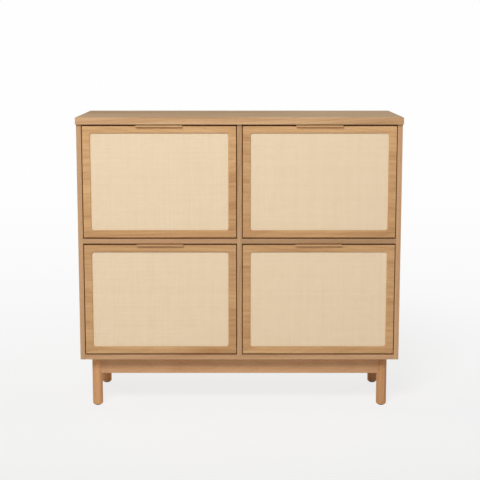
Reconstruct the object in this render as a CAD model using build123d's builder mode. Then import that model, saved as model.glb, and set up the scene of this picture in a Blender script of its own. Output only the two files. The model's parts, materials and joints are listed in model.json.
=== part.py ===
# Shoe cabinet: an oak-veneered carcass on a four-legged base, with four tilt-out doors.
# Each door is a one-piece veneered frame round a woven cane panel and carries its own shoe rack.
# Millimetres. X runs to the viewer's right, Y to the back, Z up from the floor.
# The origin is the middle of the footprint.
from build123d import *
import math
import os

# Overall size
cabinet_width = 1000.0
cabinet_depth = 350.0
cabinet_height = 920.0

# Carcass boards
top_thickness = 22.0
top_side_overhang = 2.0
top_front_overhang = 8.0
top_edge_round = 1.8
board = 15.0
board_edge_round = 0.8
back_thickness = 5.0
back_setback = 16.0
groove_depth = 5.0
groove_fit = 0.1
groove_end_room = 0.5

# Base
leg_height = 161.0
leg_diameter = 32.0
leg_side_inset = 46.0
leg_depth_inset = 57.0
leg_foot_round = 6.0
rail_height = 56.0
rail_thickness = 20.0
rail_edge_round = 1.5
cope_fit = 0.05
tenon_thickness = 8.0
tenon_height = 36.0
tenon_root = 4.0
tenon_core = 6.0
mortise_fit = 0.15
leg_bolt_diameter = 8.0
leg_bolt_in_leg = 36.0
leg_bolt_cover = 3.0
glide_diameter = 19.0
glide_thickness = 2.0
glide_nail_diameter = 3.0
glide_nail_length = 12.0

# Doors
door_thickness = 16.0
door_side_gap = 2.5
door_bottom_gap = 4.0
door_top_gap = 4.5
door_edge_round = 1.2
stile_width = 24.0
door_rail_width = 22.0
opening_corner = 7.0
opening_edge_round = 2.2
cane_recess = 4.0
cane_thickness = 1.5
back_board_thickness = 8.0
rebate_fit = 0.2
rebate_corner = 8.0

# Pull on the top edge of each door
pull_length = 144.0
pull_projection = 8.0
pull_thickness = 5.0
pull_rise = 2.0
pull_edge_round = 1.2
pull_corner_round = 3.0
pull_screw_spacing = 96.0

# Tilt-out rack behind each door
cheek_thickness = 9.0
cheek_inset = 2.5
cheek_land_wall = 2.5
tongue_depth = 4.0
tongue_end_inset = 24.0
tongue_fit = 0.1
rack_floor_gap = 8.0
rack_back_gap = 15.0
rack_head_gap = 12.0
rack_edge_round = 1.0
tier_board = 9.0
bottom_tier_rise = 2.0
tier_height = 159.0
tier_rear_margin = 8.0
tier_screw_front_inset = 40.0
tier_screw_rear_inset = 70.0

# Tilt: pivot pins, stop pins and how far a door tips out
opening_angle = 60.0
pivot_sweep_room = 4.0
pivot_diameter = 8.0
pivot_reach = 11.0
pivot_bore_room = 1.0
pivot_fit = 0.06
pivot_collar_diameter = 13.0
pivot_collar_play = 0.6
pin_web = 3.0
pin_seat_fit = 0.05
stop_diameter = 8.0
stop_edge_distance = 35.0
stop_angle = 68.0
stop_groove_depth = 5.0
stop_end_room = 1.0
stop_fit = 0.4

# Cam connectors
cam_diameter = 15.0
cam_setback = 34.0
cam_skin = 3.0
cam_fit = 0.1
cam_front_inset = 60.0
cam_back_inset = 60.0
cam_stagger = 32.0
bottom_cam_spacing = 100.0
cam_thread_diameter = 5.0
cam_thread_length = 11.0
cam_shaft_diameter = 6.0
cam_neck_diameter = 4.0
cam_neck_length = 5.0
cam_head_diameter = 6.4
cam_head_length = 4.0
cam_bolt_hole = 8.0
cam_slot_width = 2.0
cam_slot_depth = 2.0

# Wood screws
screw_diameter = 3.5
screw_head_diameter = 6.8
screw_tip = 3.0
screw_fit = 0.1
screw_end_room = 0.5
recess_width = 0.9
recess_length = 3.4
recess_depth = 1.2
countersink_angle = 90.0
tier_screw_length = 30.0
pull_screw_length = 10.0
rail_screw_length = 38.0
rail_screw_spacing = 200.0
rail_screw_count = 4
back_screw_length = 20.0
back_screw_inset = 90.0
back_shelf_screw_spacing = 240.0

# Wall brackets behind the top panel
bracket_width = 40.0
bracket_drop = 56.0
bracket_plate = 2.0
bracket_clearance = 0.5
bracket_spacing = 480.0
bracket_hole_diameter = 5.5
bracket_hole_drop = 44.0
bracket_screw_spacing = 24.0
bracket_screw_length = 14.0
access_hole_diameter = 16.0

# Levels and planes of the carcass
carcass_width = cabinet_width - 2 * top_side_overhang
carcass_front = -cabinet_depth / 2 + top_front_overhang
carcass_rear = cabinet_depth / 2
carcass_top = cabinet_height - top_thickness
side_inner = carcass_width / 2 - board
back_face = carcass_rear - back_setback - back_thickness
lower_floor = leg_height + board
opening_height = (carcass_top - lower_floor - board) / 2
upper_floor = lower_floor + opening_height + board
shelf_middle = upper_floor - board / 2
opening_width = side_inner - board / 2
column_x = board / 2 + opening_width / 2
leg_x = carcass_width / 2 - leg_side_inset
leg_y = cabinet_depth / 2 - leg_depth_inset
leg_radius = leg_diameter / 2
pin_seat = (board - pin_web) / 2

# Planes and sizes of a door, measured from the floor of its own compartment
door_width = opening_width - 2 * door_side_gap
door_height = opening_height - door_bottom_gap - door_top_gap
door_back = carcass_front + door_thickness
door_top = door_bottom_gap + door_height
window_width = door_width - 2 * stile_width
window_height = door_height - 2 * door_rail_width
cheek_land = cheek_inset + cheek_thickness + cheek_land_wall
rebate_width = stile_width - cheek_land
cane_face = carcass_front + cane_recess
board_face = cane_face + cane_thickness
half_door = door_thickness / 2
pull_top = door_top + pull_rise
pull_bottom = pull_top - pull_thickness
pull_screw_y = carcass_front + half_door

# The pivot lies mid-thickness, high enough for the door's lower front edge to clear the floor
pivot_rise = (half_door**2 - door_bottom_gap**2) / (2 * door_bottom_gap) + pivot_sweep_room
pivot_y = carcass_front + half_door
pivot_z = door_bottom_gap + pivot_rise

# The rack stays inside a circle round the pivot, which clears the back panel and the board above
rack_radius = min(
    back_face - rack_back_gap - pivot_y,
    opening_height - rack_head_gap - pivot_z,
)
stop_radius = rack_radius - stop_edge_distance
stop_y = pivot_y + stop_radius * math.cos(math.radians(stop_angle))
stop_z = pivot_z + stop_radius * math.sin(math.radians(stop_angle))
cheek_outer = door_width / 2 - cheek_inset
cheek_inner = cheek_outer - cheek_thickness
bottom_tier_z = rack_floor_gap + bottom_tier_rise
middle_tier_z = bottom_tier_z + tier_board + tier_height

# Directions
right = (1, 0, 0)
left = (-1, 0, 0)
up = (0, 0, 1)
down = (0, 0, -1)
back = (0, 1, 0)
front = (0, -1, 0)

# Compartments: name, middle of the column, floor level
compartments = {
    "upper_left": (-column_x, upper_floor),
    "upper_right": (column_x, upper_floor),
    "lower_left": (-column_x, lower_floor),
    "lower_right": (column_x, lower_floor),
}
leg_places = {
    "front_left_leg": (-leg_x, -leg_y),
    "front_right_leg": (leg_x, -leg_y),
    "back_left_leg": (-leg_x, leg_y),
    "back_right_leg": (leg_x, leg_y),
}

os.makedirs("parts", exist_ok=True)


def save(builder, name):
    builder.part.label = name
    export_step(builder.part, os.path.join("parts", name + ".step"))


def box_between(x_range, y_range, z_range, mode=Mode.ADD):
    ranges = (x_range, y_range, z_range)
    with Locations(tuple(sum(limits) / 2 for limits in ranges)):
        Box(*(limits[1] - limits[0] for limits in ranges), mode=mode)


def along(point, direction, distance):
    return tuple(p + d * distance for p, d in zip(point, direction))


def reverse(direction):
    return tuple(-d for d in direction)


def facing(point, direction):
    return Plane(origin=point, z_dir=direction)


def bore(planes, radius, depth):
    with Locations(*planes):
        Hole(radius, depth)


def countersink(planes, depth):
    with Locations(*planes):
        CounterSinkHole(
            screw_diameter / 2 + screw_fit,
            screw_head_diameter / 2 + screw_fit,
            depth,
            countersink_angle,
        )


def pilot(planes, depth):
    bore(planes, screw_diameter / 2 + screw_fit, depth + screw_end_room)


# Cam connectors: the bolt is threaded into one board and drawn into the edge of the next
def cam_joint(threaded, drawn, point, direction, face):
    return {
        "threaded": threaded,
        "drawn": drawn,
        "point": point,
        "direction": direction,
        "face": face,
    }


cam_rows = (carcass_front + cam_front_inset, back_face - cam_back_inset)
staggered_rows = (cam_rows[0] + cam_stagger, cam_rows[1] - cam_stagger)
bottom_rows = (-bottom_cam_spacing / 2, bottom_cam_spacing / 2)
side_middle = side_inner + board / 2
bottom_middle = leg_height + board / 2
cam_joints = []
for y in cam_rows:
    cam_joints += [
        cam_joint("top_panel", "left_side", (-side_middle, y, carcass_top), down, right),
        cam_joint("top_panel", "right_side", (side_middle, y, carcass_top), down, left),
        cam_joint("top_panel", "centre_divider", (0, y, carcass_top), down, left),
        cam_joint("bottom_panel", "centre_divider", (0, y, lower_floor), up, left),
        cam_joint("left_side", "left_shelf", (-side_inner, y, shelf_middle), right, down),
        cam_joint("centre_divider", "left_shelf", (-board / 2, y, shelf_middle), left, down),
    ]
for y in staggered_rows:
    cam_joints += [
        cam_joint("right_side", "right_shelf", (side_inner, y, shelf_middle), left, down),
        cam_joint("centre_divider", "right_shelf", (board / 2, y, shelf_middle), right, down),
    ]
for y in bottom_rows:
    cam_joints += [
        cam_joint("left_side", "bottom_panel", (-side_inner, y, bottom_middle), right, down),
        cam_joint("right_side", "bottom_panel", (side_inner, y, bottom_middle), left, down),
    ]


def cam_plane(joint):
    middle = along(joint["point"], joint["direction"], cam_setback)
    face_point = along(middle, joint["face"], board / 2)
    return Plane(origin=face_point, x_dir=reverse(joint["direction"]), z_dir=joint["face"])


def drill_cams(node):
    threads = [j for j in cam_joints if j["threaded"] == node]
    drawn = [j for j in cam_joints if j["drawn"] == node]
    if threads:
        planes = [facing(j["point"], j["direction"]) for j in threads]
        bore(planes, cam_thread_diameter / 2 + cam_fit, cam_thread_length + screw_end_room)
    if drawn:
        planes = [facing(j["point"], reverse(j["direction"])) for j in drawn]
        bore(planes, cam_bolt_hole / 2, cam_setback)
        bore([cam_plane(j) for j in drawn], cam_diameter / 2 + cam_fit, board - cam_skin)


# Pins in the carcass walls: each compartment has a pivot and a stop on both of its walls
def wall_pins(y, rise):
    pins = []
    for middle, floor in compartments.values():
        for side in (left, right):
            wall = (middle + side[0] * opening_width / 2, y, floor + rise)
            pins.append((wall, reverse(side)))
    return pins


pivot_places = wall_pins(pivot_y, pivot_z)
stop_places = wall_pins(stop_y, stop_z)


def drill_pins(low_x, high_x):
    for places, diameter in ((pivot_places, pivot_diameter), (stop_places, stop_diameter)):
        planes = [facing(p, d) for p, d in places if low_x <= p[0] <= high_x]
        bore(planes, diameter / 2 + pin_seat_fit, pin_seat)


def wood_screw(length):
    shank = screw_diameter / 2
    head = screw_head_diameter / 2
    with BuildPart() as screw:
        with BuildSketch(Plane.XZ):
            with BuildLine():
                Polyline(
                    (0, 0),
                    (head, 0),
                    (shank, shank - head),
                    (shank, screw_tip - length),
                    (0, -length),
                    close=True,
                )
            make_face()
        revolve(axis=Axis.Z)
        Box(recess_length, recess_width, 2 * recess_depth, mode=Mode.SUBTRACT)
        Box(recess_width, recess_length, 2 * recess_depth, mode=Mode.SUBTRACT)
    return screw.part


# Screws through the back panel into the divider and the shelves
back_screw_planes = []
for floor in (lower_floor, upper_floor):
    for z in (floor + back_screw_inset, floor + opening_height - back_screw_inset):
        back_screw_planes.append(facing((0, back_face + back_thickness, z), back))
shelf_screw_columns = [
    middle + offset
    for middle in (-column_x, column_x)
    for offset in (-back_shelf_screw_spacing / 2, back_shelf_screw_spacing / 2)
]
for x in shelf_screw_columns:
    back_screw_planes.append(facing((x, back_face + back_thickness, shelf_middle), back))

# Screws down through the bottom panel into the front and back rails
rail_screw_columns = [
    (i - (rail_screw_count - 1) / 2) * rail_screw_spacing for i in range(rail_screw_count)
]
rail_screw_planes = [
    facing((x, y, lower_floor), up) for x in rail_screw_columns for y in (-leg_y, leg_y)
]

# Screws up through the wall brackets into the top panel
bracket_columns = (-bracket_spacing / 2, bracket_spacing / 2)
bracket_front = back_face + back_thickness + bracket_clearance
bracket_screw_y = (bracket_front + carcass_rear - bracket_plate) / 2
bracket_screw_columns = [
    x + offset
    for x in bracket_columns
    for offset in (-bracket_screw_spacing / 2, bracket_screw_spacing / 2)
]
bracket_hole_z = carcass_top - bracket_hole_drop


# Top panel: one slab that overhangs the front and sides
with BuildPart() as top_panel:
    with BuildSketch(Plane.XY.offset(carcass_top)):
        Rectangle(cabinet_width, cabinet_depth)
    extrude(amount=top_thickness)
    fillet(top_panel.edges(), top_edge_round)
    box_between(
        (-side_inner, side_inner),
        (back_face - groove_fit, back_face + back_thickness + groove_fit),
        (carcass_top, carcass_top + groove_depth),
        Mode.SUBTRACT,
    )
    drill_cams("top_panel")
    pilot(
        [facing((x, bracket_screw_y, carcass_top), down) for x in bracket_screw_columns],
        bracket_screw_length - bracket_plate,
    )
save(top_panel, "top_panel")

# Sides: run from the top panel to the underside of the carcass, grooved for the back panel
for name, inward in (("left_side", right), ("right_side", left)):
    inner = -inward[0] * side_inner
    outer = -inward[0] * carcass_width / 2
    with BuildPart() as side:
        box_between(
            (min(inner, outer), max(inner, outer)),
            (carcass_front, carcass_rear),
            (leg_height, carcass_top),
        )
        fillet(side.edges().filter_by(Axis.Z).group_by(Axis.Y)[0], board_edge_round)
        groove_end = inner - inward[0] * groove_depth
        box_between(
            (min(inner, groove_end), max(inner, groove_end)),
            (back_face - groove_fit, back_face + back_thickness + groove_fit),
            (lower_floor - groove_depth, carcass_top),
            Mode.SUBTRACT,
        )
        drill_cams(name)
        drill_pins(inner - board / 2, inner + board / 2)
    save(side, name)

# Bottom panel: between the sides, over the base
with BuildPart() as bottom_panel:
    box_between((-side_inner, side_inner), (carcass_front, carcass_rear), (leg_height, lower_floor))
    fillet(bottom_panel.edges().filter_by(Axis.X).group_by(Axis.Y)[0], board_edge_round)
    box_between(
        (-side_inner, side_inner),
        (back_face - groove_fit, back_face + back_thickness + groove_fit),
        (lower_floor - groove_depth, lower_floor),
        Mode.SUBTRACT,
    )
    drill_cams("bottom_panel")
    countersink(rail_screw_planes, board)
    bore(
        [facing((x, y, leg_height), down) for x, y in leg_places.values()],
        leg_bolt_diameter / 2 + screw_fit,
        board - leg_bolt_cover,
    )
save(bottom_panel, "bottom_panel")

# Centre divider: full height between bottom and top
with BuildPart() as centre_divider:
    box_between((-board / 2, board / 2), (carcass_front, back_face), (lower_floor, carcass_top))
    fillet(centre_divider.edges().filter_by(Axis.Z).group_by(Axis.Y)[0], board_edge_round)
    drill_cams("centre_divider")
    drill_pins(-board, board)
    divider_pilots = [p for p in back_screw_planes if abs(p.origin.X) < board]
    pilot(
        [facing((p.origin.X, back_face, p.origin.Z), back) for p in divider_pilots],
        back_screw_length - back_thickness,
    )
save(centre_divider, "centre_divider")

# Shelves: one on each side of the divider, between the two rows of doors
for name, middle in (("left_shelf", -column_x), ("right_shelf", column_x)):
    half_opening = opening_width / 2
    with BuildPart() as shelf:
        box_between(
            (middle - half_opening, middle + half_opening),
            (carcass_front, back_face),
            (upper_floor - board, upper_floor),
        )
        fillet(shelf.edges().filter_by(Axis.X).group_by(Axis.Y)[0], board_edge_round)
        drill_cams(name)
        pilot(
            [
                facing((x, back_face, shelf_middle), back)
                for x in shelf_screw_columns
                if abs(x - middle) < half_opening
            ],
            back_screw_length - back_thickness,
        )
    save(shelf, name)

# Back panel: one thin sheet in the grooves, with a hole to reach each wall bracket
with BuildPart() as back_panel:
    half_back = side_inner + groove_depth - groove_end_room
    box_between(
        (-half_back, half_back),
        (back_face, back_face + back_thickness),
        (lower_floor - groove_depth + groove_end_room, carcass_top + groove_depth - groove_end_room),
    )
    # The top and bottom grooves end at the sides, so the sheet's corners are cut back there
    for x_range in ((-half_back, -side_inner), (side_inner, half_back)):
        box_between(
            x_range,
            (back_face, back_face + back_thickness),
            (carcass_top, carcass_top + groove_depth),
            Mode.SUBTRACT,
        )
    countersink(back_screw_planes, back_thickness)
    bore(
        [facing((x, back_face + back_thickness, bracket_hole_z), back) for x in bracket_columns],
        access_hole_diameter / 2,
        back_thickness,
    )
save(back_panel, "back_panel")

# Legs: round, with a softened foot, a bolt in the top and a mortise for each rail
rail_top = leg_height
rail_bottom = leg_height - rail_height
tenon_low = (rail_top + rail_bottom - tenon_height) / 2
tenon_levels = (tenon_low, tenon_low + tenon_height)
mortise_levels = (tenon_levels[0] - mortise_fit, tenon_levels[1] + mortise_fit)
half_tenon = tenon_thickness / 2
half_mortise = half_tenon + mortise_fit
for name, (x, y) in leg_places.items():
    toward_x = math.copysign(1, -x)
    toward_y = math.copysign(1, -y)
    with BuildPart() as leg:
        with BuildSketch(Plane.XY.offset(glide_thickness)):
            with Locations((x, y)):
                Circle(leg_radius)
        extrude(amount=leg_height - glide_thickness)
        fillet(leg.faces().sort_by(Axis.Z)[0].edges(), leg_foot_round)
        mortise_x = (x + toward_x * (tenon_core - mortise_fit), x + toward_x * leg_diameter)
        mortise_y = (y + toward_y * (tenon_core - mortise_fit), y + toward_y * leg_diameter)
        box_between(sorted(mortise_x), (y - half_mortise, y + half_mortise), mortise_levels, Mode.SUBTRACT)
        box_between((x - half_mortise, x + half_mortise), sorted(mortise_y), mortise_levels, Mode.SUBTRACT)
        bore(
            [facing((x, y, leg_height), up)],
            leg_bolt_diameter / 2 + screw_fit,
            leg_bolt_in_leg + screw_end_room,
        )
        bore(
            [facing((x, y, glide_thickness), down)],
            glide_nail_diameter / 2 + screw_fit,
            glide_nail_length + screw_end_room,
        )
    save(leg, name)

# Rails: coped to the round legs at both ends, with a tenon in each
half_rail = rail_thickness / 2
for name, y in (("front_rail", -leg_y), ("back_rail", leg_y)):
    with BuildPart() as rail:
        box_between((-leg_x, leg_x), (y - half_rail, y + half_rail), (rail_bottom, rail_top))
        fillet(rail.edges().filter_by(Axis.X).group_by(Axis.Z)[0], rail_edge_round)
        for end in (-1, 1):
            with Locations((end * leg_x, y, rail_bottom)):
                Cylinder(
                    leg_radius + cope_fit,
                    rail_height,
                    align=(Align.CENTER, Align.CENTER, Align.MIN),
                    mode=Mode.SUBTRACT,
                )
            tenon = (end * (leg_x - leg_radius - tenon_root), end * (leg_x - tenon_core))
            box_between(sorted(tenon), (y - half_tenon, y + half_tenon), tenon_levels)
        pilot(
            [facing((x, y, rail_top), up) for x in rail_screw_columns],
            rail_screw_length - board,
        )
    save(rail, name)
for name, x in (("left_rail", -leg_x), ("right_rail", leg_x)):
    with BuildPart() as rail:
        box_between((x - half_rail, x + half_rail), (-leg_y, leg_y), (rail_bottom, rail_top))
        fillet(rail.edges().filter_by(Axis.Y).group_by(Axis.Z)[0], rail_edge_round)
        for end in (-1, 1):
            with Locations((x, end * leg_y, rail_bottom)):
                Cylinder(
                    leg_radius + cope_fit,
                    rail_height,
                    align=(Align.CENTER, Align.CENTER, Align.MIN),
                    mode=Mode.SUBTRACT,
                )
            tenon = (end * (leg_y - leg_radius - tenon_root), end * (leg_y - tenon_core))
            box_between((x - half_tenon, x + half_tenon), sorted(tenon), tenon_levels)
    save(rail, name)

# Leg bolts: one stud up the axis of each leg into the bottom panel
with BuildPart() as leg_bolts:
    with BuildSketch(Plane.XY.offset(leg_height - leg_bolt_in_leg)):
        with Locations(*leg_places.values()):
            Circle(leg_bolt_diameter / 2)
    extrude(amount=leg_bolt_in_leg + board - leg_bolt_cover)
save(leg_bolts, "leg_bolts")

# Foot glides: a disc under each leg on a nail
with BuildPart() as foot_glides:
    with BuildSketch():
        with Locations(*leg_places.values()):
            Circle(glide_diameter / 2)
    extrude(amount=glide_thickness)
    with BuildSketch(Plane.XY.offset(glide_thickness)):
        with Locations(*leg_places.values()):
            Circle(glide_nail_diameter / 2)
    extrude(amount=glide_nail_length)
save(foot_glides, "foot_glides")

# Pivot pins: seated in the carcass walls, with a collar that spaces the door from the wall
collar_thickness = door_side_gap - pivot_collar_play
with BuildPart() as pivot_pin:
    Cylinder(
        pivot_diameter / 2,
        pin_seat + door_side_gap + pivot_reach,
        align=(Align.CENTER, Align.CENTER, Align.MIN),
    )
    with Locations((0, 0, pin_seat)):
        Cylinder(
            pivot_collar_diameter / 2,
            collar_thickness,
            align=(Align.CENTER, Align.CENTER, Align.MIN),
        )
with BuildPart() as pivot_pins:
    with Locations(*[facing(along(p, d, -pin_seat), d) for p, d in pivot_places]):
        add(pivot_pin.part)
save(pivot_pins, "pivot_pins")

# Stop pins: run in a curved groove in each cheek and end the tilt
stop_length = door_side_gap + cheek_inset + stop_groove_depth - stop_end_room
with BuildPart() as stop_pin:
    Cylinder(
        stop_diameter / 2,
        pin_seat + stop_length,
        align=(Align.CENTER, Align.CENTER, Align.MIN),
    )
with BuildPart() as stop_pins:
    with Locations(*[facing(along(p, d, -pin_seat), d) for p, d in stop_places]):
        add(stop_pin.part)
save(stop_pins, "stop_pins")

# Cam bolts: thread, shaft, neck and the head that the cam draws in
thread_r = cam_thread_diameter / 2
shaft_r = cam_shaft_diameter / 2
neck_r = cam_neck_diameter / 2
head_r = cam_head_diameter / 2
neck_start = cam_setback - cam_head_length - cam_neck_length
head_start = cam_setback - cam_head_length
with BuildPart() as cam_bolt:
    with BuildSketch(Plane.XZ):
        with BuildLine():
            Polyline(
                (0, -cam_thread_length),
                (thread_r, -cam_thread_length),
                (thread_r, 0),
                (shaft_r, 0),
                (shaft_r, neck_start),
                (neck_r, neck_start),
                (neck_r, head_start),
                (head_r, head_start),
                (head_r, cam_setback),
                (0, cam_setback),
                close=True,
            )
        make_face()
    revolve(axis=Axis.Z)
with BuildPart() as cam_bolts:
    with Locations(*[facing(j["point"], j["direction"]) for j in cam_joints]):
        add(cam_bolt.part)
save(cam_bolts, "cam_bolts")

# Cam locks: a disc flush with the board, hollow on the side where the bolt's head enters
with BuildPart() as cam_lock:
    Cylinder(
        cam_diameter / 2,
        board - cam_skin,
        align=(Align.CENTER, Align.CENTER, Align.MAX),
    )
    bolt_way = facing((-cam_head_diameter, 0, -board / 2), left)
    bore([bolt_way], head_r + cam_fit, cam_diameter + cam_head_diameter)
    Box(cam_diameter * 2, cam_slot_width, 2 * cam_slot_depth, mode=Mode.SUBTRACT)
with BuildPart() as cam_locks:
    with Locations(*[cam_plane(j) for j in cam_joints]):
        add(cam_lock.part)
save(cam_locks, "cam_locks")

# Wall brackets: steel angles under the top panel, behind the back panel
with BuildPart() as wall_brackets:
    for x in bracket_columns:
        half_bracket = bracket_width / 2
        box_between(
            (x - half_bracket, x + half_bracket),
            (bracket_front, carcass_rear),
            (carcass_top - bracket_plate, carcass_top),
        )
        box_between(
            (x - half_bracket, x + half_bracket),
            (carcass_rear - bracket_plate, carcass_rear),
            (carcass_top - bracket_drop, carcass_top),
        )
    countersink(
        [facing((x, bracket_screw_y, carcass_top - bracket_plate), down) for x in bracket_screw_columns],
        bracket_plate,
    )
    bore(
        [facing((x, carcass_rear, bracket_hole_z), back) for x in bracket_columns],
        bracket_hole_diameter / 2,
        bracket_plate,
    )
save(wall_brackets, "wall_brackets")

# Cabinet screws: rails, back panel and wall brackets
rail_screw = wood_screw(rail_screw_length)
back_screw = wood_screw(back_screw_length)
bracket_screw = wood_screw(bracket_screw_length)
with BuildPart() as cabinet_screws:
    with Locations(*rail_screw_planes):
        add(rail_screw)
    with Locations(*back_screw_planes):
        add(back_screw)
    with Locations(
        *[facing((x, bracket_screw_y, carcass_top - bracket_plate), down) for x in bracket_screw_columns]
    ):
        add(bracket_screw)
save(cabinet_screws, "cabinet_screws")


# How far back a tier board at a given height reaches inside the rack's circle
def tier_rear(tier_z):
    reach = max(abs(tier_z - pivot_z), abs(tier_z + tier_board - pivot_z))
    return pivot_y + math.sqrt(rack_radius**2 - reach**2) - tier_rear_margin


def tier_screw_rows(tier_z):
    return (door_back + tier_screw_front_inset, tier_rear(tier_z) - tier_screw_rear_inset)


tier_levels = {"bottom_tier": bottom_tier_z, "middle_tier": middle_tier_z}
tongue_levels = (
    pivot_z + pivot_diameter / 2 + tongue_end_inset,
    pivot_z + rack_radius - tongue_end_inset,
)
tier_screw = wood_screw(tier_screw_length)
pull_screw = wood_screw(pull_screw_length)


def tier_screw_planes(middle, floor, sides):
    return [
        facing((middle + side[0] * cheek_outer, y, floor + tier_z + tier_board / 2), side)
        for side in sides
        for tier_z in tier_levels.values()
        for y in tier_screw_rows(tier_z)
    ]


def pull_screw_planes(middle, level):
    offsets = (-pull_screw_spacing / 2, pull_screw_spacing / 2)
    return [facing((middle + x, pull_screw_y, level), up) for x in offsets]


# Door frame: one board with a round-cornered window, rebated behind for the cane
def make_frame(name, middle, floor):
    centre_z = floor + door_bottom_gap + door_height / 2
    rear = Plane(origin=(middle, door_back, centre_z), x_dir=right, z_dir=front)
    with BuildPart() as frame:
        with BuildSketch(rear):
            Rectangle(door_width, door_height)
            RectangleRounded(window_width, window_height, opening_corner, mode=Mode.SUBTRACT)
        extrude(amount=door_thickness)
        face = frame.faces().sort_by(Axis.Y)[0]
        fillet(face.inner_wires()[0].edges(), opening_edge_round)
        face = frame.faces().sort_by(Axis.Y)[0]
        fillet(face.outer_wire().edges(), door_edge_round)
        with BuildSketch(rear):
            RectangleRounded(
                window_width + 2 * rebate_width,
                window_height + 2 * rebate_width,
                rebate_corner,
            )
        extrude(amount=door_thickness - cane_recess, mode=Mode.SUBTRACT)
        half_pull = pull_length / 2 + rebate_fit
        box_between(
            (middle - half_pull, middle + half_pull),
            (carcass_front, door_back),
            (floor + pull_bottom, floor + door_top),
            Mode.SUBTRACT,
        )
        pilot(pull_screw_planes(middle, floor + pull_bottom), pull_screw_length - pull_thickness)
        bore(
            [
                facing((middle + side[0] * door_width / 2, pivot_y, floor + pivot_z), side)
                for side in (left, right)
            ],
            pivot_diameter / 2 + pivot_fit,
            pivot_reach + pivot_bore_room,
        )
        for side in (-1, 1):
            groove = (
                middle + side * (cheek_inner - tongue_fit),
                middle + side * (cheek_outer + tongue_fit),
            )
            box_between(
                sorted(groove),
                (door_back - tongue_depth - tongue_fit, door_back),
                (floor + tongue_levels[0] - tongue_fit, floor + tongue_levels[1] + tongue_fit),
                Mode.SUBTRACT,
            )
    save(frame, name + "_door_frame")


# Cane panel and the board behind it: two sheets held in the rebate
def make_sheet(name, middle, floor, face_y, thickness):
    centre_z = floor + door_bottom_gap + door_height / 2
    plane = Plane(origin=(middle, face_y + thickness, centre_z), x_dir=right, z_dir=front)
    margin = 2 * (rebate_width - rebate_fit)
    with BuildPart() as sheet:
        with BuildSketch(plane):
            RectangleRounded(window_width + margin, window_height + margin, rebate_corner - rebate_fit)
        extrude(amount=thickness)
    save(sheet, name)


# Pull: a slim lip let into the top edge of the door, standing proud of its face and top
def make_pull(name, middle, floor):
    pull_front = carcass_front - pull_projection
    with BuildPart() as pull:
        box_between(
            (middle - pull_length / 2, middle + pull_length / 2),
            (pull_front, door_back),
            (floor + pull_bottom, floor + pull_top),
        )
        fillet(pull.edges().filter_by(Axis.Z).group_by(Axis.Y)[0], pull_corner_round)
        rims = pull.faces().filter_by(Axis.Z)
        for rim in (rims.sort_by(Axis.Z)[0], rims.sort_by(Axis.Z)[-1]):
            outer = rim.edges().filter_by(lambda e: e.center().Y < carcass_front)
            fillet(outer.filter_by(lambda e: e.length > pull_thickness), pull_edge_round)
        countersink(pull_screw_planes(middle, floor + pull_top), pull_thickness)
    save(pull, name + "_pull")


# Cheek: a quarter-round side of the rack, tongued into the door, with the stop groove outside
def make_cheek(name, middle, floor, side):
    centre = (pivot_y, floor + pivot_z)
    low = floor + rack_floor_gap
    rear_reach = math.sqrt(rack_radius**2 - (low - centre[1]) ** 2)
    front_rise = math.sqrt(rack_radius**2 - (door_back - pivot_y) ** 2)
    diagonal = rack_radius * math.sqrt(0.5)
    outer_x = middle + side[0] * cheek_outer
    inner_x = middle + side[0] * cheek_inner
    with BuildPart() as cheek:
        with BuildSketch(Plane.YZ.offset(min(inner_x, outer_x))):
            with BuildLine():
                Line((door_back, low), (pivot_y + rear_reach, low))
                ThreePointArc(
                    (pivot_y + rear_reach, low),
                    (pivot_y + diagonal, centre[1] + diagonal),
                    (door_back, centre[1] + front_rise),
                )
                Line((door_back, centre[1] + front_rise), (door_back, low))
            make_face()
        extrude(amount=cheek_thickness)
        arc_edges = cheek.edges().filter_by(GeomType.CIRCLE)
        fillet(arc_edges, rack_edge_round)
        box_between(
            sorted((inner_x, outer_x)),
            (door_back - tongue_depth, door_back),
            (floor + tongue_levels[0], floor + tongue_levels[1]),
        )
        with BuildSketch(Plane.YZ.offset(outer_x)):
            with BuildLine(mode=Mode.PRIVATE):
                travel = CenterArc(centre, stop_radius, stop_angle - opening_angle, opening_angle)
            SlotArc(travel, stop_diameter + 2 * stop_fit)
        extrude(amount=-side[0] * stop_groove_depth, mode=Mode.SUBTRACT)
        countersink(tier_screw_planes(middle, floor, [side]), cheek_thickness)
    save(cheek, name)


# Tier: a board between the cheeks for one row of shoes
def make_tier(name, middle, floor, tier_z):
    with BuildPart() as tier:
        box_between(
            (middle - cheek_inner, middle + cheek_inner),
            (door_back, tier_rear(tier_z)),
            (floor + tier_z, floor + tier_z + tier_board),
        )
        fillet(tier.edges().filter_by(Axis.X).group_by(Axis.Y)[-1], rack_edge_round)
        planes = [
            facing((middle + side[0] * cheek_inner, y, floor + tier_z + tier_board / 2), side)
            for side in (left, right)
            for y in tier_screw_rows(tier_z)
        ]
        pilot(planes, tier_screw_length - cheek_thickness)
    save(tier, name)


# Screws of one door: the pull's from above, the tiers' through the cheeks
def make_screws(name, middle, floor):
    with BuildPart() as screws:
        with Locations(*pull_screw_planes(middle, floor + pull_top)):
            add(pull_screw)
        with Locations(*tier_screw_planes(middle, floor, (left, right))):
            add(tier_screw)
    save(screws, name + "_screws")


for name, (middle, floor) in compartments.items():
    make_frame(name, middle, floor)
    make_sheet(name + "_cane_panel", middle, floor, cane_face, cane_thickness)
    make_sheet(name + "_back_board", middle, floor, board_face, back_board_thickness)
    make_pull(name, middle, floor)
    make_cheek(name + "_left_cheek", middle, floor, left)
    make_cheek(name + "_right_cheek", middle, floor, right)
    for tier, tier_z in tier_levels.items():
        make_tier(name + "_" + tier, middle, floor, tier_z)
    make_screws(name, middle, floor)
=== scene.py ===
import json
import math

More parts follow.
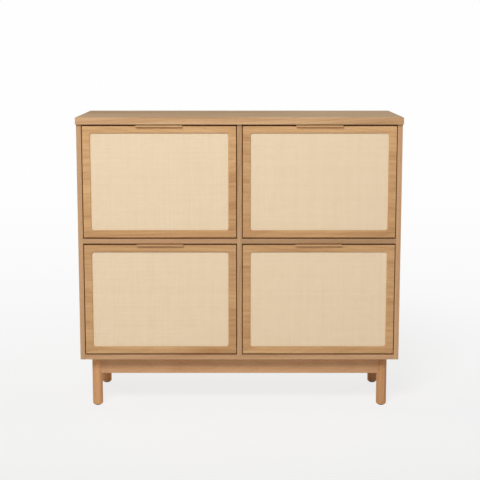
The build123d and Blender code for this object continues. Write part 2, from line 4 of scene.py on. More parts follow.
import bpy
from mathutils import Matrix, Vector

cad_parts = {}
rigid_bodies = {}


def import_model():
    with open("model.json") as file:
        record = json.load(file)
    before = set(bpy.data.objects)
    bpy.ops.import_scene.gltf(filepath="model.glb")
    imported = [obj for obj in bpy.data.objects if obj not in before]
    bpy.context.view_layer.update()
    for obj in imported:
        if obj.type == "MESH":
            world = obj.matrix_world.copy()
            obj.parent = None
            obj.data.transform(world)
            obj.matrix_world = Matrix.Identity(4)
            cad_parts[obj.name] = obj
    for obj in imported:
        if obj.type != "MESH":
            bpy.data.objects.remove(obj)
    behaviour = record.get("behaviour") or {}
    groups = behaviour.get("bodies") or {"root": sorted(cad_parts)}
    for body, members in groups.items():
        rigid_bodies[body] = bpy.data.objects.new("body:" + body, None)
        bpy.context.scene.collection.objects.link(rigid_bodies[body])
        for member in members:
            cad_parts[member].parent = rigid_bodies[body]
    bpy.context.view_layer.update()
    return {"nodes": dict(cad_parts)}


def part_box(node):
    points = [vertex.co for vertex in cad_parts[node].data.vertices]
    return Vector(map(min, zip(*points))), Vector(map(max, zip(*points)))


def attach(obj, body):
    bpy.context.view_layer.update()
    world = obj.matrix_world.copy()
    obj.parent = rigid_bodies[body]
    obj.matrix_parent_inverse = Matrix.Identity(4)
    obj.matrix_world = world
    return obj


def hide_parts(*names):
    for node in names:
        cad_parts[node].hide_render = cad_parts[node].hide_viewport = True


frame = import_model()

nodes = frame["nodes"]
doors = ("upper_left", "upper_right", "lower_left", "lower_right")


def tint(red, green, blue):
    # colours are written as they look on a screen, 0 to 255
    linear = []
    for value in (red, green, blue):
        share = value / 255
        linear.append(share / 12.92 if share <= 0.04045 else ((share + 0.055) / 1.055) ** 2.4)
    return (*linear, 1.0)


def feed(tree, node, wires):
    # an input takes another node's output or a plain value
    for key, value in wires.items():
        if isinstance(value, bpy.types.NodeSocket):
            tree.links.new(value, node.inputs[key])
        else:
            node.inputs[key].default_value = value


def put(tree, kind, wires=None, **settings):
    node = tree.nodes.new(kind)
    for key, value in settings.items():
        setattr(node, key, value)
    feed(tree, node, wires or {})
    return node


def calc(tree, operation, *values, clamp=False):
    wires = dict(enumerate(values))
    return put(tree, "ShaderNodeMath", wires, operation=operation, use_clamp=clamp).outputs[0]


def vectorCalc(tree, operation, wires):
    return put(tree, "ShaderNodeVectorMath", wires, operation=operation).outputs


def stretch(tree, vector, scale):
    return vectorCalc(tree, "MULTIPLY", {0: vector, 1: scale})[0]


def split(tree, vector):
    return put(tree, "ShaderNodeSeparateXYZ", {0: vector}).outputs


def combine(tree, *values):
    return put(tree, "ShaderNodeCombineXYZ", dict(enumerate(values))).outputs[0]


def cloud(tree, vector, scale=1.0, detail=2.0, rough=0.5):
    wires = {"Vector": vector, "Scale": scale, "Detail": detail, "Roughness": rough}
    return put(tree, "ShaderNodeTexNoise", wires).outputs


noiseCore = (0.3, 0.7)    # most of a noise's values lie between these
noiseReach = (0.2, 0.8)   # and nearly all between these


def spread(tree, value, low, high, newLow=0.0, newHigh=1.0):
    wires = {0: value, 1: low, 2: high, 3: newLow, 4: newHigh}
    return put(tree, "ShaderNodeMapRange", wires, interpolation_type="SMOOTHSTEP").outputs[0]


def mixColour(tree, share, first, second, how="MIX"):
    wires = {0: share, 6: first, 7: second}
    return put(tree, "ShaderNodeMix", wires, data_type="RGBA", blend_type=how).outputs[2]


def useGroup(tree, group, wires):
    return put(tree, "ShaderNodeGroup", wires, node_tree=group).outputs


def startGroup(name, inputs, outputs):
    tree = bpy.data.node_groups.new(name, "ShaderNodeTree")
    for label, kind, value in inputs:
        socket = tree.interface.new_socket(label, in_out="INPUT", socket_type="NodeSocket" + kind)
        if value is not None:
            socket.default_value = value
    for label, kind in outputs:
        tree.interface.new_socket(label, in_out="OUTPUT", socket_type="NodeSocket" + kind)
    return tree, tree.nodes.new("NodeGroupInput").outputs, tree.nodes.new("NodeGroupOutput")


squareOn = 0.75   # how far a normal points one way on a face that counts as an end or a front
oakLayers = {
    # share: of the board's tone; low, high: where the layer starts and is full
    # waves: how often it changes in a metre, along the grain and across it
    "band": {"share": 0.34, "low": 0.28, "high": 0.72},
    "early": {"share": 0.10, "low": 0.45, "high": 1.0},
    "streak": {"share": 0.26, "low": 0.36, "high": 0.68, "waves": (3.0, 150.0, 150.0), "rough": 0.6},
    "fibre": {"share": 0.12, "low": 0.3, "high": 0.7, "waves": (9.0, 430.0, 430.0), "rough": 0.5},
    "blotch": {"share": 0.18, "low": 0.3, "high": 0.7, "waves": (2.4, 16.0, 16.0), "rough": 0.5},
}
oakRings = {
    "swayWaves": (1.3, 8.0, 8.0), "wander": 0.02, "lean": 0.03,
    "bandScale": 0.3, "bandDetail": 3.0, "bandRough": 0.62,
}
oakPores = {
    "waves": (75.0, 1500.0, 1500.0), "detail": 1.0, "low": 0.56, "high": 0.70,
    "lateShare": 0.3,      # of the pores are left where a ring's late wood is
    "fibreRelief": 0.3,    # fibres stand this high beside a pore's depth of one
}


def buildOakFigure():
    # growth rings round a pith that lies along X, cut by the board's faces
    tree, given, made = startGroup(
        "oakFigure",
        [("Vector", "Vector", None), ("Ring Width", "Float", 0.0032), ("Contrast", "Float", 1.0),
         ("Pale", "Color", None), ("Deep", "Color", None), ("Pore Tint", "Color", None),
         ("Pore Share", "Float", 0.5), ("Drift", "Float", 0.0)],
        [("Color", "Color"), ("Tone", "Float"), ("Height", "Float")])
    vector = given["Vector"]
    sway = cloud(tree, stretch(tree, vector, oakRings["swayWaves"]))["Color"]
    sway = vectorCalc(tree, "SUBTRACT", {0: sway, 1: (0.5, 0.5, 0.5)})[0]
    sway = vectorCalc(tree, "SCALE", {0: sway, "Scale": oakRings["wander"]})[0]
    along, through, across = split(tree, vectorCalc(tree, "ADD", {0: vector, 1: sway})[0])
    depth = calc(tree, "MULTIPLY_ADD", along, oakRings["lean"], through)
    depthSquare = calc(tree, "MULTIPLY", depth, depth)
    acrossSquare = calc(tree, "MULTIPLY", across, across)
    radius = calc(tree, "SQRT", calc(tree, "ADD", depthSquare, acrossSquare))
    ring = calc(tree, "DIVIDE", radius, given["Ring Width"])
    bandWires = {"W": ring, "Scale": oakRings["bandScale"], "Detail": oakRings["bandDetail"],
                 "Roughness": oakRings["bandRough"]}
    found = {
        "band": put(tree, "ShaderNodeTexNoise", bandWires, noise_dimensions="1D").outputs[0],
        "early": calc(tree, "FRACT", ring),
    }
    shown = {}
    tone = 0.0
    for name, layer in oakLayers.items():
        if "waves" in layer:
            found[name] = cloud(tree, stretch(tree, vector, layer["waves"]), rough=layer["rough"])[0]
        shown[name] = spread(tree, found[name], layer["low"], layer["high"])
        tone = calc(tree, "MULTIPLY_ADD", shown[name], layer["share"], tone)
    tone = calc(tree, "SUBTRACT", tone, 0.5)
    tone = calc(tree, "MULTIPLY_ADD", tone, given["Contrast"], 0.5)
    tone = calc(tree, "ADD", tone, given["Drift"], clamp=True)
    pore = cloud(tree, stretch(tree, vector, oakPores["waves"]), detail=oakPores["detail"])[0]
    pore = calc(tree, "MULTIPLY", spread(tree, pore, oakPores["low"], oakPores["high"]),
                spread(tree, shown["early"], 0.0, 1.0, oakPores["lateShare"], 1.0))
    colour = mixColour(tree, tone, given["Pale"], given["Deep"])
    colour = mixColour(tree, calc(tree, "MULTIPLY", pore, given["Pore Share"]), colour, given["Pore Tint"])
    height = calc(tree, "SUBTRACT", calc(tree, "MULTIPLY", found["fibre"], oakPores["fibreRelief"]), pore)
    feed(tree, made, {"Color": colour, "Tone": tone, "Height": height})
    return tree


def buildEdgeBand():
    # a veneered board's ends carry a strip whose grain runs along the edge
    tree, given, made = startGroup("edgeBand", [("Position", "Vector", None), ("Facing", "Vector", None)],
                                   [("Vector", "Vector")])
    place = split(tree, given["Position"])
    facing = split(tree, given["Facing"])
    atEnd = calc(tree, "GREATER_THAN", calc(tree, "ABSOLUTE", facing[0]), squareOn)
    turned = combine(tree, place[1], place[0], place[2])
    wires = {0: atEnd, 4: given["Position"], 5: turned}
    feed(tree, made, {"Vector": put(tree, "ShaderNodeMix", wires, data_type="VECTOR").outputs[1]})
    return tree


pressedFibre = {
    "patchWaves": 22.0,
    "speckSize": 0.0016, "speckDetail": 3.0, "speckRough": 0.65,
    "speckLow": 0.35, "speckHigh": 0.75, "speckShare": 0.55,
}


def buildBoardFibre():
    # pressed wood fibre: fine specks over slow cloudy patches
    tree, given, made = startGroup(
        "boardFibre",
        [("Vector", "Vector", None), ("Pale", "Color", None), ("Deep", "Color", None),
         ("Patch", "Float", 0.35)],
        [("Color", "Color"), ("Height", "Float")])
    look = pressedFibre
    speck = cloud(tree, given["Vector"], 1 / look["speckSize"], look["speckDetail"], look["speckRough"])[0]
    patch = spread(tree, cloud(tree, given["Vector"], look["patchWaves"])[0], *noiseCore)
    specks = spread(tree, speck, look["speckLow"], look["speckHigh"])
    share = calc(tree, "ADD", calc(tree, "MULTIPLY", patch, given["Patch"]),
                 calc(tree, "MULTIPLY", specks, look["speckShare"]), clamp=True)
    feed(tree, made, {"Color": mixColour(tree, share, given["Pale"], given["Deep"]), "Height": speck})
    return tree


strandLook = {
    "ownShare": 0.32,
    "driftShare": 0.38, "driftWaves": 16.0, "driftDetail": 3.0, "driftRough": 0.6,
    "driftApart": 5.7,     # keeps the drifts of neighbouring strands apart
    "lineShare": 0.15, "lineWavesAlong": 70.0, "lineWavesAcross": 2600.0, "lineDetail": 1.0,
}


def buildStrandTone():
    # each strand has its own shade, which drifts along it, with fine lengthwise lines
    tree, given, made = startGroup(
        "strandTone",
        [("Along", "Float", 0.0), ("Across", "Float", 0.0), ("Pitch", "Float", 0.004)],
        [("Tone", "Float"), ("Lines", "Float")])
    look = strandLook
    number = calc(tree, "ROUND", calc(tree, "DIVIDE", given["Across"], given["Pitch"]))
    own = put(tree, "ShaderNodeTexWhiteNoise", {"W": number}, noise_dimensions="1D").outputs[0]
    spot = combine(tree, calc(tree, "MULTIPLY", given["Along"], look["driftWaves"]),
                   calc(tree, "MULTIPLY", number, look["driftApart"]))
    drift = cloud(tree, spot, detail=look["driftDetail"], rough=look["driftRough"])[0]
    drift = spread(tree, drift, *noiseCore)
    thread = combine(tree, calc(tree, "MULTIPLY", given["Along"], look["lineWavesAlong"]),
                     calc(tree, "MULTIPLY", given["Across"], look["lineWavesAcross"]))
    lines = cloud(tree, thread, detail=look["lineDetail"])[0]
    tone = calc(tree, "MULTIPLY", drift, look["driftShare"])
    tone = calc(tree, "MULTIPLY_ADD", own, look["ownShare"], tone)
    tone = calc(tree, "MULTIPLY_ADD", lines, look["lineShare"], tone, clamp=True)
    feed(tree, made, {"Tone": tone, "Lines": lines})
    return tree


oakFigure = buildOakFigure()
edgeBand = buildEdgeBand()
boardFibre = buildBoardFibre()
strandTone = buildStrandTone()
print("shader groups: oakFigure, edgeBand, boardFibre, strandTone")


def startMaterial(name):
    material = bpy.data.materials.new(name)
    material.use_nodes = True
    tree = material.node_tree
    tree.nodes.clear()
    shader = put(tree, "ShaderNodeBsdfPrincipled")
    put(tree, "ShaderNodeOutputMaterial", {0: shader.outputs[0]})
    return material, tree, shader


def paint(node, material):
    piece = nodes[node]
    if not piece.material_slots:
        piece.data.materials.append(material)
    for place in piece.material_slots:
        place.material = material


def addBump(tree, shader, height, strength, distance):
    wires = {"Height": height, "Strength": strength, "Distance": distance}
    feed(tree, shader, {"Normal": put(tree, "ShaderNodeBump", wires).outputs[0]})


oakFinishes = {
    "door": {"pale": tint(222, 178, 127), "deep": tint(185, 136, 90), "pore": tint(145, 100, 60),
             "contrast": 1.3, "poreShare": 0.5, "roughness": 0.54, "ring": 0.0032, "shine": 0.15},
    "pull": {"pale": tint(219, 177, 128), "deep": tint(195, 148, 101), "pore": tint(160, 114, 72),
             "contrast": 0.7, "poreShare": 0.4, "roughness": 0.54, "ring": 0.0032, "shine": 0.15},
    "top": {"pale": tint(216, 182, 139), "deep": tint(184, 145, 105), "pore": tint(143, 104, 68),
            "contrast": 1.5, "poreShare": 0.45, "roughness": 0.56, "ring": 0.0034, "shine": 0.05},
    "carcass": {"pale": tint(207, 167, 127), "deep": tint(176, 134, 95), "pore": tint(137, 96, 63),
                "contrast": 1.0, "poreShare": 0.45, "roughness": 0.54, "ring": 0.0034, "shine": 0.15},
    "rail": {"pale": tint(224, 179, 134), "deep": tint(195, 146, 105), "pore": tint(150, 104, 68),
             "contrast": 0.9, "poreShare": 0.45, "roughness": 0.52, "ring": 0.0030, "shine": 0.15},
    "leg": {"pale": tint(229, 176, 125), "deep": tint(197, 142, 95), "pore": tint(152, 101, 62),
            "contrast": 0.9, "poreShare": 0.45, "roughness": 0.52, "ring": 0.0030, "shine": 0.15},
}
oakSurface = {"paleGloss": -0.05, "deepGloss": 0.07, "bump": 0.25, "bumpDepth": 0.00025}
turns = {"x": (0, 0, 0), "y": (0, 0, -math.pi / 2), "z": (0, math.pi / 2, 0)}  # brings the grain onto X


def driftTone(tree, spot, drift, middle):
    slope = vectorCalc(tree, "DOT_PRODUCT", {0: spot, 1: drift})["Value"]
    return calc(tree, "SUBTRACT", slope, middle.dot(Vector(drift)))


def oakBoard(node, finish, along, pith, banded=False, shade=1.0, drift=(0.0, 0.0, 0.0), strip=None):
    # pith: where the tree's heart lies from the middle of the board, along, through and across it
    # drift: how much deeper the wood gets in each metre along X, Y and Z; on the doors and the top this is
    # partly painted shade
    # strip: what sets off a front edge that carries a strip of its own, paler than the face; this is partly
    # the strip's own tone and partly painted shade on the face
    look = oakFinishes[finish]
    low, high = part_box(node)
    middle = (low + high) / 2
    material, tree, shader = startMaterial("oak_" + node)
    spot = put(tree, "ShaderNodeTexCoord").outputs
    vector = spot["Object"]
    if banded:
        vector = useGroup(tree, edgeBand, {"Position": spot["Object"], "Facing": spot["Normal"]})[0]
    turnedMiddle = {"x": (middle.x, middle.y, middle.z), "y": (middle.y, -middle.x, middle.z),
                    "z": (middle.z, middle.y, -middle.x)}[along]
    offset = [heart - centre for heart, centre in zip(pith, turnedMiddle)]
    wires = {"Vector": vector, "Location": offset, "Rotation": turns[along]}
    wires = {"Vector": put(tree, "ShaderNodeMapping", wires).outputs[0],
             "Ring Width": look["ring"], "Contrast": look["contrast"], "Pore Share": look["poreShare"]}
    for label, key in (("Pale", "pale"), ("Deep", "deep"), ("Pore Tint", "pore")):
        wires[label] = (*(shade * value for value in look[key][:3]), 1.0)
    wires["Drift"] = driftTone(tree, spot["Object"], drift, middle)
    if strip:
        atFront = calc(tree, "LESS_THAN", split(tree, spot["Normal"])[1], -squareOn)
        own = calc(tree, "ADD", driftTone(tree, spot["Object"], strip["drift"], middle), strip["tone"])
        wires["Drift"] = put(tree, "ShaderNodeMix", {0: atFront, 2: wires["Drift"], 3: own}).outputs[0]
    figure = useGroup(tree, oakFigure, wires)
    colour = figure["Color"]
    if strip:
        colour = mixColour(tree, atFront, colour, strip["warmth"], "MULTIPLY")
    gloss = spread(tree, figure["Tone"], 0.0, 1.0, look["roughness"] + oakSurface["paleGloss"],
                   look["roughness"] + oakSurface["deepGloss"])
    feed(tree, shader, {"Base Color": colour, "Roughness": gloss, "Specular IOR Level": look["shine"]})
    addBump(tree, shader, figure["Height"], oakSurface["bump"], oakSurface["bumpDepth"])
    paint(node, material)


# the top: its face is set deeper than its front edge and deeper towards the back, partly the veneer's own
# tone and partly painted shade where the flat top takes less light
topBoard = {
    "pith": (0.3, 0.03, 0.055), "banded": True, "shade": 0.97, "drift": (-0.33, 0.9, 0.0),
    "strip": {"tone": -0.2, "drift": (0.6, 0.0, 8.0), "warmth": (1.06, 0.98, 0.96, 1.0)},
}
carcassBoards = {
    # finish, way of the grain, pith, shade
    "bottom_panel": ("carcass", "x", (2.1, 0.05, 0.04), 1.07),
    "left_shelf": ("carcass", "x", (3.4, 0.06, 0.05), 1.05),
    "right_shelf": ("carcass", "x", (4.7, 0.04, 0.05), 0.92),
    "left_side": ("carcass", "z", (5.2, 0.03, 0.06), 1.08),
    "right_side": ("carcass", "z", (6.6, -0.05, 0.05), 1.16),
    "centre_divider": ("carcass", "z", (7.9, 0.06, 0.05), 1.02),
    "front_rail": ("rail", "x", (9.1, 0.05, 0.02), 1.02),
    "back_rail": ("rail", "x", (10.3, 0.05, -0.02), 1.0),
    "left_rail": ("rail", "y", (11.2, 0.05, 0.01), 1.0),
    "right_rail": ("rail", "y", (12.5, 0.05, -0.01), 1.0),
    "front_left_leg": ("leg", "z", (13.3, 0.05, 0.03), 1.0),
    "front_right_leg": ("leg", "z", (14.4, -0.04, 0.04), 0.90),
    # the back legs are set apart in shade: the left one lighter as painted light and the right one darker
    # as painted shade, for light that falls from the left
    "back_left_leg": ("leg", "z", (15.8, 0.05, -0.02), 1.14),
    "back_right_leg": ("leg", "z", (16.2, 0.04, -0.05), 0.88),
}
# each door's veneer has a shade and drift of its own, and these also carry painted shade: the lower doors
# are set darker, and the upper doors deeper towards their bottom rails; each pull takes its door's shade
doorBoards = {
    "upper_left": {"pith": (20.0, 0.05, -0.10), "shade": 1.02, "drift": (0.6, 0.0, -0.9)},
    "upper_right": {"pith": (22.3, 0.06, 0.07), "shade": 1.0, "drift": (-0.25, 0.0, -0.45)},
    "lower_left": {"pith": (24.1, 0.05, 0.13), "shade": 0.955, "drift": (0.3, 0.0, 0.0)},
    "lower_right": {"pith": (26.6, 0.07, 0.03), "shade": 0.98, "drift": (0.0, 0.0, 0.0)},
}
rackBoards = {
    # way of the grain, and the pith: its first value counts from the door's own
    "_left_cheek": ("z", (1.7, 0.08, 0.05)),
    "_right_cheek": ("z", (2.6, -0.06, 0.05)),
    "_bottom_tier": ("x", (3.5, 0.05, 0.05)),
    "_middle_tier": ("x", (4.4, -0.07, 0.05)),
}
pullPith = (0.9, 0.03, 0.04)   # counted in the same way


def farther(pith, start):
    return (start + pith[0], *pith[1:])


oakBoard("top_panel", "top", "x", **topBoard)
for node, (finish, along, pith, shade) in carcassBoards.items():
    oakBoard(node, finish, along, pith, shade=shade)
for door, look in doorBoards.items():
    start = look["pith"][0]
    oakBoard(door + "_door_frame", "door", "x", banded=True, **look)
    oakBoard(door + "_pull", "pull", "x", farther(pullPith, start), True, look["shade"])
    for ending, (along, pith) in rackBoards.items():
        oakBoard(door + ending, "carcass", along, farther(pith, start))
boardsPerDoor = 2 + len(rackBoards)
print("oak: %d boards" % (1 + len(carcassBoards) + boardsPerDoor * len(doorBoards)))

fibreLooks = {
    "hardboard": {"pale": tint(186, 154, 117), "deep": tint(152, 120, 86),
                  "patch": 0.14, "roughness": 0.5},
    "caneBacking": {"pale": tint(228, 208, 176), "deep": tint(210, 188, 152),
                    "patch": 0.3, "roughness": 0.6},
}
fibreSurface = {"speckGloss": 0.12, "shine": 0.35, "bump": 0.15, "bumpDepth": 0.0002}


def fibreMaterial(name, look):
    material, tree, shader = startMaterial(name)
    spot = put(tree, "ShaderNodeTexCoord").outputs["Object"]
    wires = {"Vector": spot, "Pale": look["pale"], "Deep": look["deep"], "Patch": look["patch"]}
    fibre = useGroup(tree, boardFibre, wires)
    gloss = spread(tree, fibre["Height"], *noiseReach, look["roughness"],
                   look["roughness"] + fibreSurface["speckGloss"])
    wires = {"Base Color": fibre["Color"], "Roughness": gloss, "Specular IOR Level": fibreSurface["shine"]}
    feed(tree, shader, wires)
    addBump(tree, shader, fibre["Height"], fibreSurface["bump"], fibreSurface["bumpDepth"])
    return material


fibreBoards = {name: fibreMaterial(name, look) for name, look in fibreLooks.items()}
paint("back_panel", fibreBoards["hardboard"])
for door in doors:
    paint(door + "_back_board", fibreBoards["caneBacking"])

hardwareLooks = {
    "zincPlate": {"pale": tint(216, 218, 220), "deep": tint(176, 178, 182), "metal": 1.0, "roughness": 0.3},
    "dullSteel": {"pale": tint(150, 147, 142), "deep": tint(126, 123, 118), "metal": 1.0, "roughness": 0.5},
    "darkNylon": {"pale": tint(58, 55, 52), "deep": tint(44, 42, 40), "metal": 0.0, "roughness": 0.48},
}
hardwareSurface = {
    "patchWaves": 260.0, "patchDetail": 3.0, "patchRough": 0.6, "patchGloss": 0.15,
    "bump": 0.08, "bumpDepth": 0.0002,
}


def hardwareMaterial(name, look):
    material, tree, shader = startMaterial(name)
    surface = hardwareSurface
    spot = put(tree, "ShaderNodeTexCoord").outputs["Object"]
    patch = cloud(tree, spot, surface["patchWaves"], surface["patchDetail"], surface["patchRough"])[0]
    colour = mixColour(tree, spread(tree, patch, *noiseCore), look["pale"], look["deep"])
    gloss = spread(tree, patch, *noiseReach, look["roughness"], look["roughness"] + surface["patchGloss"])
    feed(tree, shader, {"Base Color": colour, "Roughness": gloss, "Metallic": look["metal"]})
    addBump(tree, shader, patch, surface["bump"], surface["bumpDepth"])
    return material


hardware = {name: hardwareMaterial(name, look) for name, look in hardwareLooks.items()}
for node in ("leg_bolts", "cam_bolts", "cam_locks", "wall_brackets", "cabinet_screws"):
    paint(node, hardware["zincPlate"])
paint("stop_pins", hardware["dullSteel"])
for door in doors:
    paint(door + "_screws", hardware["zincPlate"])
for node in ("foot_glides", "pivot_pins"):
    paint(node, hardware["darkNylon"])
print("boards and hardware painted")

caneWeave = {
    "pitch": 0.004,            # from one strand to the next
    "strandWidth": 0.00385,
    "strandThickness": 0.0005,
    "strandSides": 5,
    "rise": 0.00036,           # how far a strand bows over or under its neighbours
    "mergeReach": 0.00002,     # joins one wave of a strand to the next
    "drift": 0.0007,           # how far strands wander from straight
    "driftSize": 0.06,
    "smoothAngle": 40,
    "strandsApart": 400,       # from one panel to the next on the roll
    "roughness": (0.42, 0.6),
    "shine": 0.35,
    "bump": 0.2,
    "bumpDepth": 0.00015,
    "weft": {"pale": tint(246, 226, 194), "deep": tint(236, 210, 174)},
    "warp": {"pale": tint(244, 223, 190), "deep": tint(233, 206, 168)},
}


def strandMaterial(name, along, across):
    look = caneWeave[name]
    material, tree, shader = startMaterial("cane_" + name)
    place = split(tree, put(tree, "ShaderNodeAttribute", attribute_name="weave").outputs["Vector"])
    wires = {"Along": place[along], "Across": place[across], "Pitch": caneWeave["pitch"]}
    strand = useGroup(tree, strandTone, wires)
    colour = mixColour(tree, strand["Tone"], look["pale"], look["deep"])
    gloss = spread(tree, strand["Lines"], *noiseReach, *caneWeave["roughness"])
    feed(tree, shader, {"Base Color": colour, "Roughness": gloss, "Specular IOR Level": caneWeave["shine"]})
    addBump(tree, shader, strand["Lines"], caneWeave["bump"], caneWeave["bumpDepth"])


def dropSelection():
    bpy.ops.object.select_all(action="DESELECT")


def strandUnit(name, along, firstInFront, place):
    # one wave of a strand: a many-sided tube, squeezed flat with its crown in front,
    # its middle ring pushed past the next strand
    pitch, rise = caneWeave["pitch"], caneWeave["rise"]
    axis = "xyz".index(along)
    dropSelection()
    bpy.ops.mesh.primitive_cylinder_add(vertices=caneWeave["strandSides"], radius=0.5, depth=2 * pitch,
                                        end_fill_type="NOTHING", rotation=(0, 0, math.pi))
    unit = bpy.context.object
    bpy.ops.object.transform_apply(rotation=True)
    unit.rotation_euler = (0, math.pi / 2 if along == "x" else 0, 0)
    widthScale = caneWeave["strandWidth"] / unit.dimensions.x
    unit.scale = (widthScale, caneWeave["strandThickness"] / unit.dimensions.y, 1)
    bpy.ops.object.transform_apply(rotation=True, scale=True)
    bpy.ops.object.mode_set(mode="EDIT")
    bpy.ops.mesh.select_mode(type="EDGE")
    bpy.ops.mesh.select_all(action="DESELECT")
    bpy.ops.object.mode_set(mode="OBJECT")
    spots = unit.data.vertices
    for edge in unit.data.edges:
        first, second = edge.vertices
        edge.select = abs(spots[first].co[axis] - spots[second].co[axis]) > pitch
    bpy.ops.object.mode_set(mode="EDIT")
    bpy.ops.mesh.subdivide(number_cuts=1)
    bpy.ops.mesh.select_mode(type="VERT")
    bpy.ops.mesh.select_all(action="DESELECT")
    bpy.ops.object.mode_set(mode="OBJECT")
    for spot in unit.data.vertices:
        spot.select = abs(spot.co[axis]) < pitch / 4
    bpy.ops.object.mode_set(mode="EDIT")
    side = -1 if firstInFront else 1
    bpy.ops.transform.translate(value=(0, -2 * side * rise, 0))
    bpy.ops.mesh.select_all(action="SELECT")
    bpy.ops.transform.translate(value=(place[0], side * rise, place[1]))
    bpy.ops.object.mode_set(mode="OBJECT")
    unit.data.materials.append(bpy.data.materials["cane_" + name])
    return unit


def repeat(piece, step, count, merge):
    array = piece.modifiers.new("repeat", "ARRAY")
    array.use_relative_offset = False
    array.use_constant_offset = True
    array.constant_offset_displace = step
    array.count = count
    array.use_merge_vertices = merge
    array.merge_threshold = caneWeave["mergeReach"]
    bpy.ops.object.modifier_apply(modifier=array.name)


def joinPieces(pieces):
    dropSelection()
    for piece in pieces:
        piece.select_set(True)
    bpy.context.view_layer.objects.active = pieces[0]
    bpy.ops.object.join()
    return pieces[0]


def markWeave(cane):
    # every point keeps its place in the straight weave, so that colours follow the strands
    places = [0.0] * (3 * len(cane.data.vertices))
    cane.data.vertices.foreach_get("co", places)
    cane.data.attributes.new("weave", "FLOAT_VECTOR", "POINT").data.foreach_set("vector", places)


def shiftWeave(cane):
    # the next panel is cut from farther along the roll, so no two look alike
    spots = cane.data.attributes["weave"].data
    places = [0.0] * (3 * len(spots))
    spots.foreach_get("vector", places)
    step = caneWeave["pitch"] * caneWeave["strandsApart"]
    spots.foreach_set("vector", [place + step for place in places])


def weaveCane(low, high):
    pitch = caneWeave["pitch"]
    pairsAcross = int((high.x - low.x) / (2 * pitch))
    pairsUp = int((high.z - low.z) / (2 * pitch))
    weft = joinPieces([strandUnit("weft", "x", True, (0, 0)), strandUnit("weft", "x", False, (0, pitch))])
    repeat(weft, (2 * pitch, 0, 0), pairsAcross, True)
    repeat(weft, (0, 0, 2 * pitch), pairsUp, False)
    warp = joinPieces([strandUnit("warp", "z", False, (0, 0)), strandUnit("warp", "z", True, (pitch, 0))])
    repeat(warp, (0, 0, 2 * pitch), pairsUp, True)
    repeat(warp, (2 * pitch, 0, 0), pairsAcross, False)
    cane = joinPieces([weft, warp])
    bpy.ops.object.mode_set(mode="EDIT")
    bpy.ops.mesh.select_all(action="SELECT")
    bpy.ops.mesh.fill_holes(sides=caneWeave["strandSides"])   # closes the strands' cut ends
    bpy.ops.mesh.normals_make_consistent(inside=False)
    bpy.ops.object.mode_set(mode="OBJECT")
    markWeave(cane)
    for direction in ("X", "Z"):
        texture = bpy.data.textures.new("strandDrift" + direction, "CLOUDS")
        texture.noise_scale = caneWeave["driftSize"]
        wander = cane.modifiers.new("drift", "DISPLACE")
        wander.texture = texture
        wander.direction = direction
        wander.strength = caneWeave["drift"] * (1 if direction == "X" else -1)
        bpy.ops.object.modifier_apply(modifier=wander.name)
    cane.scale = ((high.x - low.x) / cane.dimensions.x, 1, (high.z - low.z) / cane.dimensions.z)
    bpy.ops.object.transform_apply(scale=True)
    bpy.ops.object.shade_smooth_by_angle(angle=math.radians(caneWeave["smoothAngle"]))
    return cane


def centreOn(piece, low, high):
    corners = [Vector(c) for c in piece.bound_box]
    middle = (Vector(map(min, *corners)) + Vector(map(max, *corners))) / 2
    dropSelection()
    piece.select_set(True)
    bpy.context.view_layer.objects.active = piece
    bpy.ops.transform.translate(value=(low + high) / 2 - middle)
    bpy.ops.object.transform_apply(location=True)


strandMaterial("weft", 0, 2)
strandMaterial("warp", 2, 0)
caneLow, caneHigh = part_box(doors[0] + "_cane_panel")
canePanel = weaveCane(caneLow, caneHigh)
for number, door in enumerate(doors):
    dropSelection()
    if number:
        canePanel.select_set(True)
        bpy.context.view_layer.objects.active = canePanel
        bpy.ops.object.duplicate(linked=False)
        canePanel = bpy.context.object
        shiftWeave(canePanel)
    canePanel.name = door + "_woven_cane"
    centreOn(canePanel, *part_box(door + "_cane_panel"))
    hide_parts(door + "_cane_panel")
for door in doors:
    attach(bpy.data.objects[door + "_woven_cane"], door + "_door")
print("cane woven: %d faces a panel" % len(canePanel.data.polygons))

studio = {
    "floorSize": 40.0, "floorTone": tint(241, 241, 241), "farTone": tint(254, 254, 254),
    "fadeFrom": -0.17, "fadeLength": 1.9,         # the floor pales towards the back
    "edgeFrom": 1.8, "edgeTo": 7.0,               # and far out on every side
    "frontFrom": -0.3, "frontTo": -1.1, "frontShade": 0.07,   # and is a little deeper in front
    "shadowShare": 0.20, "shadowNear": 0.7, "shadowFar": 2.2, "shadowLift": 0.09,
    "ambient": 0.20,
    "aim": (0.0, -0.17, 0.5),
}
softboxes = {
    "key": {"place": (-0.8, -3.45, 3.4), "size": 1.5, "power": 129.0, "gloss": True},
    "left": {"place": (-2.7, 2.6, 0.62), "size": 1.1, "power": 36.0, "gloss": False},
    "right": {"place": (2.7, 2.6, 0.62), "size": 1.1, "power": 36.0, "gloss": False},
    "back": {"place": (0.5, 3.9, 0.62), "size": 1.1, "power": 30.0, "gloss": False},
}


def seenDirectly(tree):
    # one for the camera's rays and what mirrors or passes them on, nought for light that bounces softly
    path = put(tree, "ShaderNodeLightPath").outputs
    seen = calc(tree, "MAXIMUM", path["Is Camera Ray"], path["Is Glossy Ray"])
    return calc(tree, "MAXIMUM", seen, path["Is Transmission Ray"])


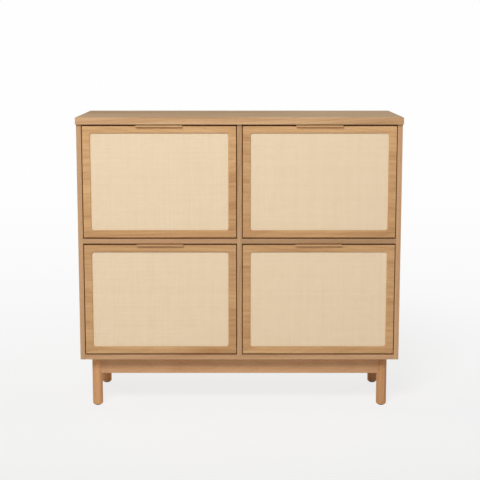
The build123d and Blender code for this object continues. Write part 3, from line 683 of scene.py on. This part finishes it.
def buildFloor():
    dropSelection()
    bpy.ops.mesh.primitive_plane_add(size=studio["floorSize"], location=(0, 0, 0))
    floor = bpy.context.object
    floor.name = "studio_floor"
    material = bpy.data.materials.new("studioFloor")
    material.use_nodes = True
    tree = material.node_tree
    tree.nodes.clear()
    spot = put(tree, "ShaderNodeTexCoord").outputs["Object"]
    depth = split(tree, spot)[1]
    reach = vectorCalc(tree, "LENGTH", {0: spot})["Value"]
    inside = spread(tree, reach, studio["edgeFrom"], studio["edgeTo"], 1.0, 0.0)
    beside = spread(tree, reach, studio["shadowNear"], studio["shadowFar"], 1.0, 0.0)
    ahead = spread(tree, depth, studio["frontTo"], studio["frontFrom"], studio["frontShade"], 0.0)
    behind = calc(tree, "MAXIMUM", calc(tree, "SUBTRACT", depth, studio["fadeFrom"]), 0.0)
    near = calc(tree, "EXPONENT", calc(tree, "DIVIDE", behind, -studio["fadeLength"]))
    tone = mixColour(tree, calc(tree, "MULTIPLY", near, inside), studio["farTone"], studio["floorTone"])
    lift = calc(tree, "MULTIPLY_ADD", beside, studio["shadowLift"], 1.0)
    lift = calc(tree, "SUBTRACT", lift, calc(tree, "MULTIPLY", ahead, inside))
    matt = put(tree, "ShaderNodeBsdfDiffuse", {"Color": studio["floorTone"]})
    glow = put(tree, "ShaderNodeEmission", {"Color": tone, "Strength": lift})
    plain = calc(tree, "SUBTRACT", 1.0, calc(tree, "MULTIPLY", beside, studio["shadowShare"]))
    share = calc(tree, "MULTIPLY", seenDirectly(tree), plain)
    blend = put(tree, "ShaderNodeMixShader", {0: share, 1: matt.outputs[0], 2: glow.outputs[0]})
    put(tree, "ShaderNodeOutputMaterial", {0: blend.outputs[0]})
    floor.data.materials.append(material)


def buildWorld():
    world = bpy.data.worlds.new("studio")
    bpy.context.scene.world = world
    world.use_nodes = True
    tree = world.node_tree
    tree.nodes.clear()
    soft = put(tree, "ShaderNodeBackground", {"Color": (1, 1, 1, 1), "Strength": studio["ambient"]})
    white = put(tree, "ShaderNodeBackground", {"Color": studio["farTone"], "Strength": 1.0})
    wires = {0: seenDirectly(tree), 1: soft.outputs[0], 2: white.outputs[0]}
    put(tree, "ShaderNodeOutputWorld", {0: put(tree, "ShaderNodeMixShader", wires).outputs[0]})


def addSoftbox(name, look):
    lamp = bpy.data.lights.new(name, "AREA")
    lamp.size = look["size"]
    lamp.energy = look["power"]
    holder = bpy.data.objects.new(name, lamp)
    bpy.context.scene.collection.objects.link(holder)
    holder.location = look["place"]
    holder.rotation_euler = (Vector(studio["aim"]) - holder.location).to_track_quat("-Z", "Y").to_euler()
    holder.visible_camera = False
    holder.visible_glossy = look["gloss"]   # the fills leave no shine


buildFloor()
buildWorld()
for lampName, look in softboxes.items():
    addSoftbox(lampName, look)
print("studio set")

camera = {"place": (0.0017, -3.4807, 1.1373), "down": 7.677, "lens": 81.7, "shift": -0.10}
eye = bpy.data.objects.new("camera", bpy.data.cameras.new("camera"))
bpy.context.scene.collection.objects.link(eye)
eye.location = camera["place"]
eye.rotation_euler = (math.radians(90 - camera["down"]), 0, 0)
eye.data.lens = camera["lens"]
eye.data.shift_y = camera["shift"]
bpy.context.scene.camera = eye
bpy.context.scene.view_settings.view_transform = "Standard"
print("camera set")
